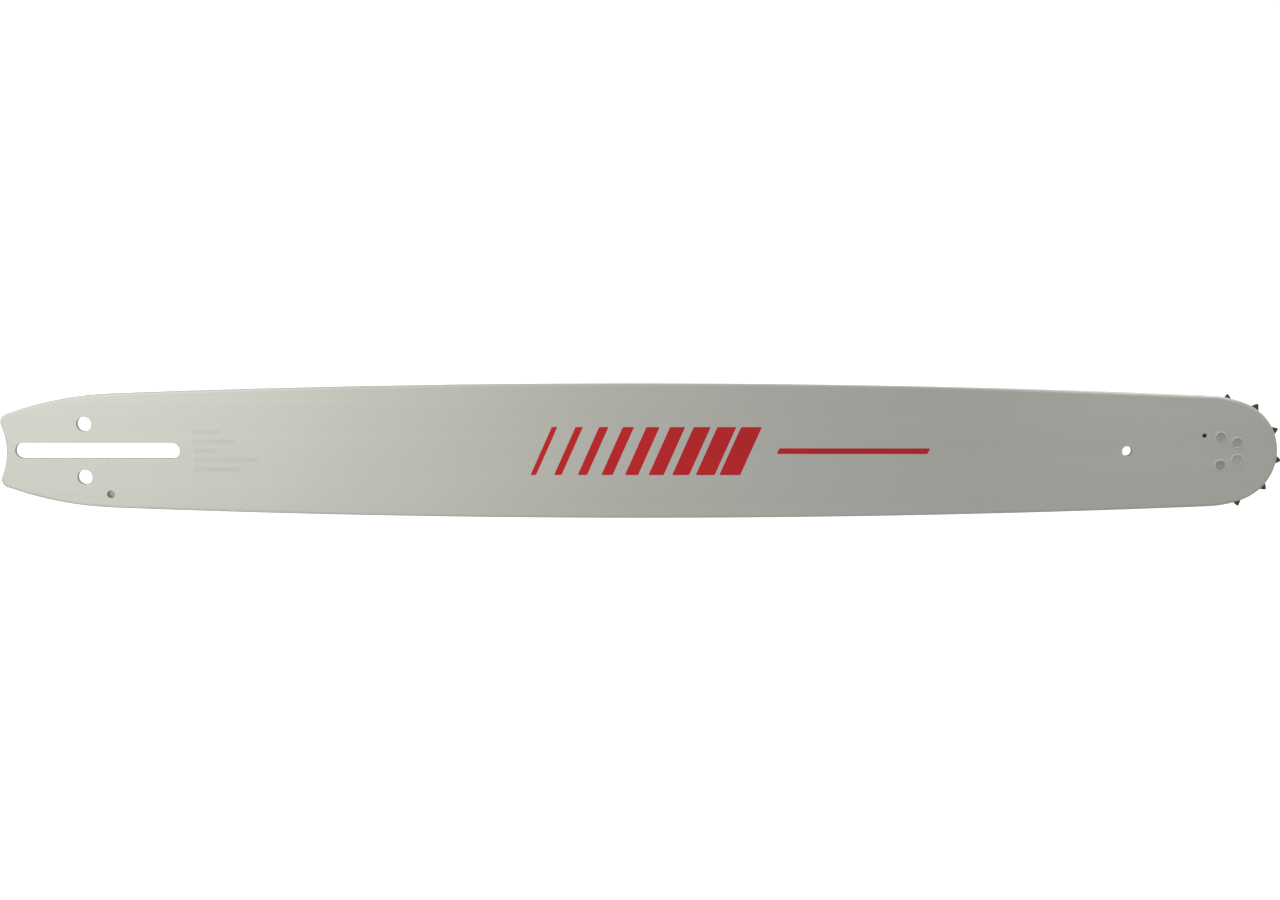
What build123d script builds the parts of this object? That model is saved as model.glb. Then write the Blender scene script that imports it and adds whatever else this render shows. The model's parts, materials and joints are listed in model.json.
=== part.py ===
from build123d import *
import os
from math import asin, cos, degrees, floor, radians, sin, sqrt, tan

# Chainsaw guide bar, laminated from three steel plates, with a sprocket running in its nose.
# The bar lies on its back face: X runs from the tail to the nose, Y across the bar, Z out of the front face.
# The origin is the middle of the stud slot, on the back face. Lengths are in millimetres, angles in degrees.

# Lamination
SIDE_THICKNESS = 1.55
CORE_THICKNESS = 1.5            # also the width of the chain groove
GROOVE_DEPTH = 8.0
RAIL_CHAMFER = 0.4              # outer corner of both rails
GROOVE_CHAMFER = 0.25           # inner corner of both rails, where the chain enters the groove

# Outline of the side plates
BAR_LENGTH = 710.9              # tail lobes to the tip of the nose rail
NOSE_RADIUS = 29.0
NOSE_SHOULDER_RADIUS = 60.0     # arc that joins the nose to the bowed rail
NOSE_SHOULDER_RISE = 1.6        # how far the bowed rail passes outside the nose circle
RAIL_BOW = 7.05                 # how far the rail bulges from the nose to the middle of the bar
TAIL_SHOULDER_LENGTH = 61.0     # tail lobes to the start of the bowed rail
TAIL_SHOULDER_RADIUS = 190.0
TAIL_CORNER_RADIUS = 4.5
TAIL_NOTCH_DEPTH = 3.2          # hollow between the two lobes of the tail

# Stud slot, on the centreline
SLOT_LENGTH = 91.6
SLOT_WIDTH = 8.8
SLOT_END_WALL = 4.8             # metal between the slot and the hollow of the tail

# Chain tension holes, one on each side of the slot
TENSION_HOLE_DIAMETER = 8.3
TENSION_HOLE_WEB = 6.3          # metal between the slot and a tension hole
TENSION_HOLE_SETBACK = 7.3      # towards the tail from the middle of the slot

# Oil holes, one through each side plate into the groove on its own side of the bar
OIL_HOLE_DIAMETER = 4.2
OIL_HOLE_ADVANCE = 7.0          # towards the nose from the middle of the slot
OIL_HOLE_LIFT = 0.6             # above the floor of the groove
OIL_RELIEF_MARGIN = 0.5         # how much larger the hollow in the core is, all round

# Hanging hole, on the centreline
HANGING_HOLE_DIAMETER = 5.6
HANGING_HOLE_SETBACK = 54.7     # behind the centre of the nose

# Nose rivets: places at an even step round the nose centre, with the one towards the tail left empty
RIVET_CIRCLE_RADIUS = 8.2
RIVET_STEP = 72.0
RIVET_HOLE_DIAMETER = 4.2
RIVET_HEAD_DIAMETER = 5.0
RIVET_RECESS = 0.1              # heads below the faces of the bar
RIVET_CLEARANCE = 0.02          # radial

# Nose bearing: a full set of rollers between a fixed race and the bore of the sprocket
RACE_RIM = 1.3                  # metal outside the rivet holes
ROLLER_DIAMETER = 3.0
ROLLER_SPACING = 0.02           # least gap between neighbours
BEARING_CLEARANCE = 0.03        # radial, on each side of a roller
BEARING_END_CLEARANCE = 0.08    # from each side plate, for the rollers and the sprocket

# Nose sprocket
SPROCKET_TEETH = 11
TOOTH_REACH = 2.8               # tips beyond the nose rail
TOOTH_TIP_WIDTH = 0.8
TOOTH_POINT_ANGLE = 35.0        # sides of the point outside the rail, from the middle line of the tooth
TOOTH_FLANK_ANGLE = 18.0        # sides of the tooth below the point
TOOTH_GULLET_RADIUS = 3.0
SPROCKET_PHASE = -9.6           # where the first tooth stands
SPROCKET_POCKET_CLEARANCE = 0.8  # from the tooth tips to the core

# Grease ports, one through each side plate, over the edge of the sprocket bore
GREASE_HOLE_DIAMETER = 2.5
GREASE_HOLE_ANGLE = 143.5       # round the nose centre, from the direction of the tip

# Levels and centres that follow from the sizes above
CORE_LEVEL = SIDE_THICKNESS
FRONT_LEVEL = SIDE_THICKNESS + CORE_THICKNESS
BAR_THICKNESS = FRONT_LEVEL + SIDE_THICKNESS
TAIL_X = -(SLOT_LENGTH / 2 + SLOT_END_WALL + TAIL_NOTCH_DEPTH)
MIDDLE_X = TAIL_X + BAR_LENGTH / 2
NOSE = Vector(TAIL_X + BAR_LENGTH - NOSE_RADIUS, 0)
HANGING_HOLE = NOSE - Vector(HANGING_HOLE_SETBACK, 0)
TENSION_HOLE_Y = SLOT_WIDTH / 2 + TENSION_HOLE_WEB + TENSION_HOLE_DIAMETER / 2

# Bowed rail: an arc over the whole bar, highest halfway along
HALF_HEIGHT = NOSE_RADIUS + NOSE_SHOULDER_RISE + RAIL_BOW
BOW_REACH = NOSE.X - MIDDLE_X
BOW_RADIUS = (BOW_REACH**2 + RAIL_BOW**2) / (2 * RAIL_BOW)
BOW = Vector(MIDDLE_X, HALF_HEIGHT - BOW_RADIUS)

# Nose bearing and sprocket
RACE_RADIUS = RIVET_CIRCLE_RADIUS + RIVET_HOLE_DIAMETER / 2 + RACE_RIM
ROLLER_CIRCLE_RADIUS = RACE_RADIUS + BEARING_CLEARANCE + ROLLER_DIAMETER / 2
SPROCKET_BORE_RADIUS = ROLLER_CIRCLE_RADIUS + ROLLER_DIAMETER / 2 + BEARING_CLEARANCE
ROLLER_ANGLE = 2 * degrees(asin((ROLLER_DIAMETER + ROLLER_SPACING) / 2 / ROLLER_CIRCLE_RADIUS))
ROLLER_COUNT = floor(360 / ROLLER_ANGLE)
BEARING_WIDTH = CORE_THICKNESS - 2 * BEARING_END_CLEARANCE
BEARING_LEVEL = CORE_LEVEL + BEARING_END_CLEARANCE
TOOTH_TIP_RADIUS = NOSE_RADIUS + TOOTH_REACH


def point_at(centre, radius, angle):
    """The point of a circle at an angle from the X direction."""
    return centre + Vector(radius * cos(radians(angle)), radius * sin(radians(angle)))


def toward(centre, radius, target):
    """The point of a circle on the ray from its centre through a target."""
    return centre + (target - centre).normalized() * radius


def height_on(centre, radius, x):
    """The Y of the upper half of a circle at an X."""
    return centre.Y + sqrt(radius**2 - (x - centre.X) ** 2)


def left_crossing(first, first_radius, second, second_radius):
    """Where two circles cross, to the left of the way from the first centre to the second."""
    way = second - first
    along = (first_radius**2 - second_radius**2 + way.length**2) / (2 * way.length)
    across = sqrt(first_radius**2 - along**2)
    ahead = way.normalized()
    return first + ahead * along + Vector(-ahead.Y, ahead.X) * across


def arc_about(centre, start, end):
    """The short arc between two points at the same distance from a centre."""
    spoke = start - centre
    middle = toward(centre, spoke.length, centre + spoke + (end - centre))
    return ThreePointArc(start, middle, end)


def closed_outline(upper_edges, end_edges):
    """A face bounded by edges above the centreline, their mirror images, and the edges at both ends."""
    lower_edges = [mirror(edge, about=Plane.XZ) for edge in upper_edges]
    return make_face([*upper_edges, *lower_edges, *end_edges])


def mirrored(point):
    """The same place below the centreline."""
    return Vector(point.X, -point.Y)


# Arcs of the outline above the centreline, from the nose to the tail. Each touches the next.
NOSE_SHOULDER = left_crossing(
    BOW, BOW_RADIUS - NOSE_SHOULDER_RADIUS, NOSE, NOSE_SHOULDER_RADIUS - NOSE_RADIUS
)
NOSE_END = toward(NOSE_SHOULDER, NOSE_SHOULDER_RADIUS, NOSE)
RAIL_FRONT = toward(BOW, BOW_RADIUS, NOSE_SHOULDER)
RAIL_BACK_X = TAIL_X + TAIL_SHOULDER_LENGTH
RAIL_BACK = Vector(RAIL_BACK_X, height_on(BOW, BOW_RADIUS, RAIL_BACK_X))
TAIL_SHOULDER = toward(BOW, BOW_RADIUS - TAIL_SHOULDER_RADIUS, RAIL_BACK)
LOBE_X = TAIL_X + TAIL_CORNER_RADIUS
LOBE = Vector(LOBE_X, height_on(TAIL_SHOULDER, TAIL_SHOULDER_RADIUS - TAIL_CORNER_RADIUS, LOBE_X))
SHOULDER_END = toward(TAIL_SHOULDER, TAIL_SHOULDER_RADIUS, LOBE)

# The hollow of the tail touches both lobes from outside.
NOTCH_RADIUS = (TAIL_NOTCH_DEPTH**2 + LOBE.Y**2) / (2 * TAIL_NOTCH_DEPTH) - TAIL_CORNER_RADIUS
NOTCH = Vector(TAIL_X + TAIL_NOTCH_DEPTH - NOTCH_RADIUS, 0)
NOTCH_END = toward(NOTCH, NOTCH_RADIUS, LOBE)

# The floor of the groove keeps the same depth below the rail.
FLOOR_BACK = toward(BOW, BOW_RADIUS - GROOVE_DEPTH, RAIL_BACK)
FLOOR_NOSE = Vector(NOSE.X, height_on(BOW, BOW_RADIUS - GROOVE_DEPTH, NOSE.X))
FLOOR_TAIL = Vector(TAIL_X, height_on(TAIL_SHOULDER, TAIL_SHOULDER_RADIUS - GROOVE_DEPTH, TAIL_X))

# Oil holes stand just clear of the floor of the groove.
OIL_FLOOR_CENTRE = BOW if OIL_HOLE_ADVANCE > RAIL_BACK_X else TAIL_SHOULDER
OIL_FLOOR_RADIUS = (OIL_FLOOR_CENTRE - RAIL_BACK).length - GROOVE_DEPTH
OIL_HOLE = Vector(
    OIL_HOLE_ADVANCE, -OIL_HOLE_LIFT - height_on(OIL_FLOOR_CENTRE, OIL_FLOOR_RADIUS, OIL_HOLE_ADVANCE)
)
GREASE_HOLE = point_at(NOSE, SPROCKET_BORE_RADIUS, GREASE_HOLE_ANGLE)
RIVET_PLACES = [
    point_at(NOSE, RIVET_CIRCLE_RADIUS, side * (index + 0.5) * RIVET_STEP)
    for index in range(2)
    for side in (1, -1)
]


def round_hole(point, diameter):
    """The outline of a round hole."""
    return Pos(point) * Circle(diameter / 2)


def shared_holes():
    """Outlines of the holes that pass through all three plates."""
    holes = [SlotOverall(SLOT_LENGTH, SLOT_WIDTH), round_hole(HANGING_HOLE, HANGING_HOLE_DIAMETER)]
    for side in (1, -1):
        centre = Vector(-TENSION_HOLE_SETBACK, side * TENSION_HOLE_Y)
        holes.append(round_hole(centre, TENSION_HOLE_DIAMETER))
    return holes


def rivet_form(clearance, recess):
    """A rivet with a 45 degree countersunk head at each face of the bar: its hole, less a clearance and a recess."""
    shank_radius = RIVET_HOLE_DIAMETER / 2 - clearance
    head_radius = RIVET_HEAD_DIAMETER / 2 - clearance - recess
    head_height = head_radius - shank_radius
    foot = recess
    top = BAR_THICKNESS - recess
    profile = Polyline(
        (0, foot),
        (head_radius, foot),
        (shank_radius, foot + head_height),
        (shank_radius, top - head_height),
        (head_radius, top),
        (0, top),
        close=True,
    )
    return revolve(Plane.XZ * make_face(profile), Axis.Z)


def rivet_holes():
    """The forms that the rivets fill in the plates and the race."""
    return [Pos(place) * rivet_form(clearance=0, recess=0) for place in RIVET_PLACES]


def make_front_side_plate():
    """The side plate on the front face, with its own oil hole and grease port."""
    upper_edges = [
        arc_about(NOSE_SHOULDER, NOSE_END, RAIL_FRONT),
        arc_about(BOW, RAIL_FRONT, RAIL_BACK),
        arc_about(TAIL_SHOULDER, RAIL_BACK, SHOULDER_END),
        arc_about(LOBE, SHOULDER_END, NOTCH_END),
    ]
    end_edges = [
        arc_about(NOTCH, NOTCH_END, mirrored(NOTCH_END)),
        arc_about(NOSE, NOSE_END, mirrored(NOSE_END)),
    ]
    outline = closed_outline(upper_edges, end_edges)
    blank = Pos(0, 0, FRONT_LEVEL) * extrude(outline, SIDE_THICKNESS)
    blank = chamfer(blank.edges().group_by(Axis.Z)[-1], RAIL_CHAMFER)
    blank = chamfer(blank.edges().group_by(Axis.Z)[0], GROOVE_CHAMFER)
    own_holes = [round_hole(OIL_HOLE, OIL_HOLE_DIAMETER), round_hole(GREASE_HOLE, GREASE_HOLE_DIAMETER)]
    cuts = [extrude(hole, BAR_THICKNESS) for hole in [*shared_holes(), *own_holes]]
    return blank - cuts - rivet_holes()


def make_back_side_plate():
    """The same plate turned over about the length of the bar."""
    middle_line = Axis((0, 0, BAR_THICKNESS / 2), (1, 0, 0))
    return make_front_side_plate().rotate(middle_line, 180)


def make_core_plate():
    """The inner plate: its edges are the floor of the groove, and its nose end clears the sprocket."""
    upper_edges = [
        arc_about(BOW, FLOOR_NOSE, FLOOR_BACK),
        arc_about(TAIL_SHOULDER, FLOOR_BACK, FLOOR_TAIL),
    ]
    end_edges = [Line(FLOOR_NOSE, mirrored(FLOOR_NOSE)), Line(FLOOR_TAIL, mirrored(FLOOR_TAIL))]
    outline = closed_outline(upper_edges, end_edges)
    outline -= round_hole(NOTCH, 2 * NOTCH_RADIUS)
    outline -= round_hole(NOSE, 2 * (TOOTH_TIP_RADIUS + SPROCKET_POCKET_CLEARANCE))
    for oil_hole in (OIL_HOLE, mirrored(OIL_HOLE)):
        outline -= round_hole(oil_hole, OIL_HOLE_DIAMETER + 2 * OIL_RELIEF_MARGIN)
    outline -= shared_holes()
    return Pos(0, 0, CORE_LEVEL) * extrude(outline, CORE_THICKNESS)


def make_bearing_race():
    """The fixed disc inside the rollers, clamped between the side plates by the rivets."""
    disc = Pos(NOSE.X, NOSE.Y, CORE_LEVEL) * extrude(Circle(RACE_RADIUS), CORE_THICKNESS)
    return disc - rivet_holes()


def make_nose_sprocket():
    """The star wheel: pointed teeth, each with straight flanks below its point and a round gullet after it."""
    centre = Vector(0, 0)
    pitch = 360 / SPROCKET_TEETH
    tip = point_at(centre, TOOTH_TIP_RADIUS, degrees(asin(TOOTH_TIP_WIDTH / 2 / TOOTH_TIP_RADIUS)))
    knee = tip + Vector(-TOOTH_REACH, TOOTH_REACH * tan(radians(TOOTH_POINT_ANGLE)))
    flank_normal = point_at(centre, 1, 90 - TOOTH_FLANK_ANGLE)
    gullet_ray = point_at(centre, 1, pitch / 2)
    gullet_reach = (TOOTH_GULLET_RADIUS + knee.dot(flank_normal)) / gullet_ray.dot(flank_normal)
    gullet = gullet_ray * gullet_reach
    flank_foot = gullet - flank_normal * TOOTH_GULLET_RADIUS
    next_foot = mirrored(flank_foot).rotate(Axis.Z, pitch)
    tooth = [
        arc_about(centre, mirrored(tip), tip),
        Polyline(tip, knee, flank_foot),
        Polyline(mirrored(tip), mirrored(knee), mirrored(flank_foot)),
        ThreePointArc(flank_foot, toward(gullet, TOOTH_GULLET_RADIUS, centre), next_foot),
    ]
    turns = [Rot(0, 0, SPROCKET_PHASE + index * pitch) for index in range(SPROCKET_TEETH)]
    outline = make_face([turn * edge for turn in turns for edge in tooth])
    outline -= Circle(SPROCKET_BORE_RADIUS)
    return Pos(NOSE.X, NOSE.Y, BEARING_LEVEL) * extrude(outline, BEARING_WIDTH)


def make_roller(index):
    """One loose roller of the nose bearing."""
    place = point_at(NOSE, ROLLER_CIRCLE_RADIUS, index * 360 / ROLLER_COUNT)
    return Pos(place.X, place.Y, BEARING_LEVEL) * extrude(Circle(ROLLER_DIAMETER / 2), BEARING_WIDTH)


def make_nose_rivet(place):
    """A rivet with its heads just below the faces of the side plates."""
    return Pos(place) * rivet_form(RIVET_CLEARANCE, RIVET_RECESS)


pieces = {
    "front_side_plate": make_front_side_plate(),
    "back_side_plate": make_back_side_plate(),
    "core_plate": make_core_plate(),
    "bearing_race": make_bearing_race(),
    "nose_sprocket": make_nose_sprocket(),
}
for index in range(ROLLER_COUNT):
    pieces[f"roller_{index + 1:02d}"] = make_roller(index)
for number, place in enumerate(RIVET_PLACES, start=1):
    pieces[f"nose_rivet_{number}"] = make_nose_rivet(place)

os.makedirs("parts", exist_ok=True)
for node, piece in pieces.items():
    export_step(piece, f"parts/{node}.step")
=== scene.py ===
"""Dresses a laminated chainsaw guide bar with a sprocket in its nose.

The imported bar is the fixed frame, and each operator makes or finishes one group of its pieces in place.
X runs from the tail to the nose, Y across the bar and Z out of the front face. The origin is the middle
of the stud slot, on the back face. Sizes are in metres.
"""

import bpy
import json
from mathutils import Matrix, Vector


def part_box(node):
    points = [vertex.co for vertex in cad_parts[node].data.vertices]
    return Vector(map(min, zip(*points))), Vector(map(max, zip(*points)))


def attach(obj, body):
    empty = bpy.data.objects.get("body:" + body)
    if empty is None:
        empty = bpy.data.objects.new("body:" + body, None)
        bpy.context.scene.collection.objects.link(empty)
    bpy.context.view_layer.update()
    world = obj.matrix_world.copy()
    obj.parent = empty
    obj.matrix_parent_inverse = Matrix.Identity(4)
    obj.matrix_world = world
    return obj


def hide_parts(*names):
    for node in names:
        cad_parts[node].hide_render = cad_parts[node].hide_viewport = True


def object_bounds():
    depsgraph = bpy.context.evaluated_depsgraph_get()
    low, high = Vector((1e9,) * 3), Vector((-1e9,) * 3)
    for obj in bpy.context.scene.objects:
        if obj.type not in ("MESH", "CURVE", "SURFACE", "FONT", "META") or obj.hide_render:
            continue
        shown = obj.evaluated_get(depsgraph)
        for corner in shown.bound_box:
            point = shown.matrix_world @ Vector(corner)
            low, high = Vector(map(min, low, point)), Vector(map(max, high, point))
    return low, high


bl_info = {
    "name": "Guide Bar Dressing",
    "version": (1, 0, 0),
    "blender": (4, 5, 0),
    "location": "3D View > Sidebar > Guide Bar",
    "description": "Pieces, finishes and a studio for a guide bar with a sprocket nose",
    "category": "Object",
}

import json
from math import asin, atan2, ceil, cos, pi, radians, sin, sqrt, tan

import bmesh
import bpy
from bpy.props import FloatProperty, FloatVectorProperty, IntProperty, PointerProperty
from bpy.types import Operator, Panel, PropertyGroup
from mathutils import Matrix, Vector

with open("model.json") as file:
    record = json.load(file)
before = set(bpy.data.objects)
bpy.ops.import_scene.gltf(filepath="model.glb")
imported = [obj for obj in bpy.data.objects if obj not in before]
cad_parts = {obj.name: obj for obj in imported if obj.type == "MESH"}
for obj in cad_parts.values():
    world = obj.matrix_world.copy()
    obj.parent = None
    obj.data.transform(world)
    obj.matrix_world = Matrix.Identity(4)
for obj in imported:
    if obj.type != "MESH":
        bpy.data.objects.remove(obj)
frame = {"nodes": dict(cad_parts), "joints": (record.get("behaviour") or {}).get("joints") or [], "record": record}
CAD_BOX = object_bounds()

MM = 0.001
MOUNTS = {mount["name"]: mount for mount in frame["record"]["mounts"]}
JOINTS = {joint["name"]: joint for joint in frame["joints"]}
NOSE = Vector(JOINTS["sprocket_spin"]["pos_m"][:2])
PLATE_FOOT, FRONT_FACE = (corner.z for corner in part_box("front_side_plate"))
WHEEL_FOOT, WHEEL_FACE = (corner.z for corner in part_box("nose_sprocket"))
TENSION_HOLES = ("tension_hole_upper", "tension_hole_lower")
ROUND_HOLES = (*TENSION_HOLES, "hanging_hole", "oil_hole_front", "grease_port_front")

# How finely the curves are cut
ARC_STEP = radians(4.0)
RAIL_CHORD = 12.0 * MM
GULLET_CHORD = 0.5 * MM
ROUND_STEPS = 3
HOLE_SIDES = 72
GREASE_SIDES = 48
GREASE_STEPS = 6

# Finishes of a side plate and of the star wheel, in the order of their materials
PAINT, RAIL, CUT, INNER = range(4)
OXIDE, EDGE = range(2)

# How far the paint laps over the round of the rail chamfer, as a share of that round
PAINT_LAP = 0.4

# The swelling of the plate round a rivet, outwards from its countersink: shares of its width and height
SWELL_ROWS = ((0.0, 0.75), (0.07, 1.0), (0.45, 0.95), (0.62, 0.7), (0.82, 0.2), (1.0, 0.0))

# The face of a rivet head, outwards from its axis: radius and depth in millimetres
RIVET_HOLLOW = ((0.0, 0.09), (0.45, 0.085), (0.90, 0.06), (1.30, 0.025))
RIVET_SHOULDER = ((1.65, -0.02), (1.95, -0.05), (2.15, -0.06), (2.28, -0.04))

# The rolled rim of a rivet head: inset from its countersink and depth in millimetres
RIVET_RIM = ((0.05, 0.02), (0.08, 0.08))

# The tone of each rivet, as shares of the colour they have in common
RIVET_TONES = {
    1: (0.80, 0.91, 0.875),
    2: (0.96, 0.99, 0.99),
    3: (0.865, 0.855, 0.855),
    4: (0.765, 0.765, 0.78),
}

# The swirl in the top of the grease: its arms, and how far it turns from the middle to the wall
SWIRL_ARMS = 2
SWIRL_TWIST = 5.0

# Lengths of the etched rows from the top down, as shares of the longest
ETCH_ROWS = (0.40, 0.62, 0.34, 1.0, 0.75)

# A noise mostly lies between these, and a wave of scale one repeats over this length
NOISE_LOW, NOISE_HIGH = 0.3, 0.7
WAVE_LENGTH = 2 * pi / 20
BUMP_STRENGTH = 0.5

# How far the paint's roughness strays, and how far the teeth are rubbed below their tips
PAINT_STRAY = 0.05
RUBBED_REACH = 2.0 * MM

# Where each lamp stands and points, its width and height, and how its light is seen
LAMPS = {
    "tail_lamp": dict(place=(0.0, 0.235, 0.39), aim=(-0.30, 0, 0), size=(0.15, 0.29), glints=False),
    "nose_lamp": dict(
        place=(NOSE.x + 0.05, 0.27, 0.10), aim=(NOSE.x, 0, 0), size=(0.16, 0.06), lights=False
    ),
    "graze_lamp": dict(
        place=(NOSE.x - 0.11, 0.25, 0.017),
        aim=(NOSE.x, 0, FRONT_FACE),
        size=(0.10, 0.022),
        spread=radians(60.0),
        glints=False,
    ),
}

# The floor reaches this far from the stud slot and lies this far under the bar
FLOOR_REACH = 9.0
FLOOR_GAP = 0.2 * MM

# Where the camera points on the front face, its nearest view, and its sensor in millimetres
CAMERA_AIM = (302.07 * MM, 0.6 * MM)
NEAREST_VIEW = 0.01
SENSOR_WIDTH = 36.0


def setting(name, description, default, **kind):
    """A setting that holds a number."""
    return FloatProperty(name=name, description=description, default=default, **kind)


def length(name, description, default):
    """A size of the bar."""
    return setting(name, description, default, min=0.0, precision=5, subtype="DISTANCE", unit="LENGTH")


def angle(name, description, default):
    """An angle of the bar, given in degrees and kept in radians."""
    return setting(name, description, radians(default), subtype="ANGLE", unit="ROTATION")


def share(name, description, default):
    """A share from nothing to all."""
    return setting(name, description, default, min=0.0, max=1.0, subtype="FACTOR")


def watts(name, description, default):
    """The power of a lamp."""
    return setting(name, description, default, min=0.0, unit="POWER")


def colour(name, description, default):
    """A linear colour of a finish."""
    return FloatVectorProperty(
        name=name, description=description, default=default, size=3, min=0.0, max=1.0, subtype="COLOR"
    )


class PlateSizes(PropertyGroup):
    """Outline and edges that both side plates share."""

    nose_radius: length("Nose radius", "Round of the nose rail", 29.0 * MM)
    nose_shoulder_radius: length("Nose shoulder", "Arc that joins the nose to the bowed rail", 60.0 * MM)
    nose_shoulder_rise: length("Shoulder rise", "How far the bow passes outside the nose", 1.6 * MM)
    rail_bow: length("Rail bow", "Bulge of the rail at mid-length", 7.05 * MM)
    tail_shoulder_length: length("Shoulder length", "Tail lobes to the start of the bowed rail", 61.0 * MM)
    tail_shoulder_radius: length("Tail shoulder", "Arc that draws the rail in to the tail", 190.0 * MM)
    tail_corner_radius: length("Tail corner", "Round of both lobes of the tail", 4.5 * MM)
    tail_notch_depth: length("Tail hollow", "Depth of the hollow between the lobes", 3.2 * MM)
    slot_end_wall: length("Slot end wall", "Stud slot to the hollow of the tail", 4.8 * MM)
    rail_chamfer: length("Rail chamfer", "Outer corner of the rails", 0.4 * MM)
    groove_chamfer: length("Groove chamfer", "Inner corner of the rails", 0.25 * MM)
    edge_roll: length("Edge roll", "Width of the rolled edge of the face", 0.9 * MM)
    edge_drop: length("Edge drop", "Fall of the rolled edge below the face", 0.18 * MM)
    edge_ease: length("Edge ease", "Small round along the corners of the rails", 0.1 * MM)
    hole_ease: length("Hole ease", "Small round at both ends of the holes", 0.14 * MM)


class NoseSizes(PropertyGroup):
    """The sprocket, the rivets and the grease of the nose."""

    tooth_count: IntProperty(name="Teeth", description="Teeth of the star wheel", default=11, min=6, max=16)
    tooth_reach: length("Tooth reach", "Tooth tips beyond the nose rail", 2.8 * MM)
    tooth_tip_width: length("Tip width", "Flat at the tip of a tooth", 0.8 * MM)
    tooth_point_angle: angle("Point angle", "Sides of the point, from mid-tooth", 35.0)
    tooth_flank_angle: angle("Flank angle", "Sides of the tooth below the point", 18.0)
    tooth_gullet_radius: length("Gullet radius", "Round between two teeth", 3.0 * MM)
    tooth_ease: length("Tooth ease", "Round along the edges of the teeth", 0.06 * MM)
    wheel_phase: angle("Wheel phase", "Where the first tooth stands", -9.6)
    bore_radius: length("Bore radius", "Bore of the wheel, round the rollers", 14.66 * MM)
    rivet_hole_radius: length("Rivet hole radius", "Hole of a rivet below its countersink", 2.1 * MM)
    rivet_countersink: length("Countersink", "Depth and spread of a countersink", 0.4 * MM)
    rivet_clearance: length("Rivet clearance", "Gap round a rivet", 0.02 * MM)
    sink_lip: length("Countersink lip", "Round at the mouth of a countersink", 0.042 * MM)
    swell_height: length("Swell height", "Rise of the plate round a set rivet", 0.15 * MM)
    swell_width: length("Swell width", "Width of the swelling round a rivet", 1.0 * MM)
    grease_clearance: length("Grease clearance", "Gap round the grease", 0.02 * MM)
    grease_seat: length("Grease seat", "Inner face to the foot of the grease", 0.25 * MM)
    grease_height: length("Grease height", "Mean height of the grease", 0.62 * MM)
    grease_hollow: length("Grease hollow", "How far the grease sinks in its middle", 0.10 * MM)
    grease_swirl: length("Grease swirl", "Height of the swirl in the grease", 0.05 * MM)


class FinishColours(PropertyGroup):
    """Colours and gloss of the finishes."""

    paint: colour("Paint", "Satin grey of the side plates", (0.429, 0.431, 0.395))
    paint_roughness: share("Paint roughness", "Dullness of the plate paint", 0.46)
    paint_streak: share("Paint streaks", "Strength of the lengthwise streaks", 0.03)
    rail: colour("Rail steel", "Ground edges that the chain runs on", (0.500, 0.491, 0.469))
    cut: colour("Cut steel", "Walls of the holes", (0.290, 0.284, 0.265))
    inner: colour("Inner faces", "Rolled steel beside the groove", (0.780, 0.765, 0.728))
    core: colour("Core steel", "Oiled steel of the inner plate", (0.230, 0.222, 0.205))
    oxide: colour("Oxide", "Dark oxide of the star wheel", (0.080, 0.074, 0.060))
    flank: colour("Tooth flanks", "Bare edges of the star wheel", (0.230, 0.195, 0.160))
    bearing: colour("Bearing steel", "Race and rollers", (0.620, 0.620, 0.610))
    rivet: colour("Rivet steel", "Dished heads of the nose rivets", (0.478, 0.483, 0.450))
    etch: colour("Etched paint", "Paint browned by the etching", (0.350, 0.343, 0.297))
    ink: colour("Print", "Printed bars of the front face", (0.475, 0.012, 0.016))
    grease: colour("Grease", "Grease in the nose ports", (0.044, 0.004, 0.010))


class PrintSizes(PropertyGroup):
    """The printed bars of the front face."""

    start: length("Start", "Middle of the stud slot to the print", 236.0 * MM)
    reach: length("Reach", "Length of the print", 128.0 * MM)
    height: length("Height", "Height of the slanted bars", 27.0 * MM)
    count: IntProperty(name="Bars", description="Slanted bars of the print", default=9, min=4, max=20)
    narrowest: share("Narrowest bar", "Width of the first bar, as a share of the pitch", 0.22)
    widening: share("Widening", "Growth to the last bar, as a share of the pitch", 0.60)
    slant: angle("Slant", "Lean of the bars towards the nose", 24.0)
    corner: length("Corner", "Round of the corners of a bar", 0.7 * MM)
    stripe_gap: length("Stripe gap", "Bars to the stripe in front of them", 15.0 * MM)
    stripe_reach: length("Stripe reach", "Length of the stripe", 84.0 * MM)
    stripe_height: length("Stripe height", "Height of the stripe", 3.2 * MM)
    thickness: length("Ink thickness", "Height of the ink on the paint", 0.03 * MM)


class EtchSizes(PropertyGroup):
    """The faint hatched rows between the stud slot and the print."""

    start: length("Start", "Middle of the stud slot to the rows", 54.0 * MM)
    reach: length("Reach", "Length of the longest row", 36.0 * MM)
    spacing: length("Spacing", "From one row to the next", 5.2 * MM)
    height: length("Height", "Height of a row", 2.4 * MM)
    stroke: length("Stroke", "Width of a hatch stroke", 0.4 * MM)
    pitch: length("Pitch", "From one stroke to the next", 1.2 * MM)
    slant: angle("Slant", "Lean of the strokes towards the nose", 24.0)
    thickness: length("Etch thickness", "Height of the burnt paint", 0.012 * MM)


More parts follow.
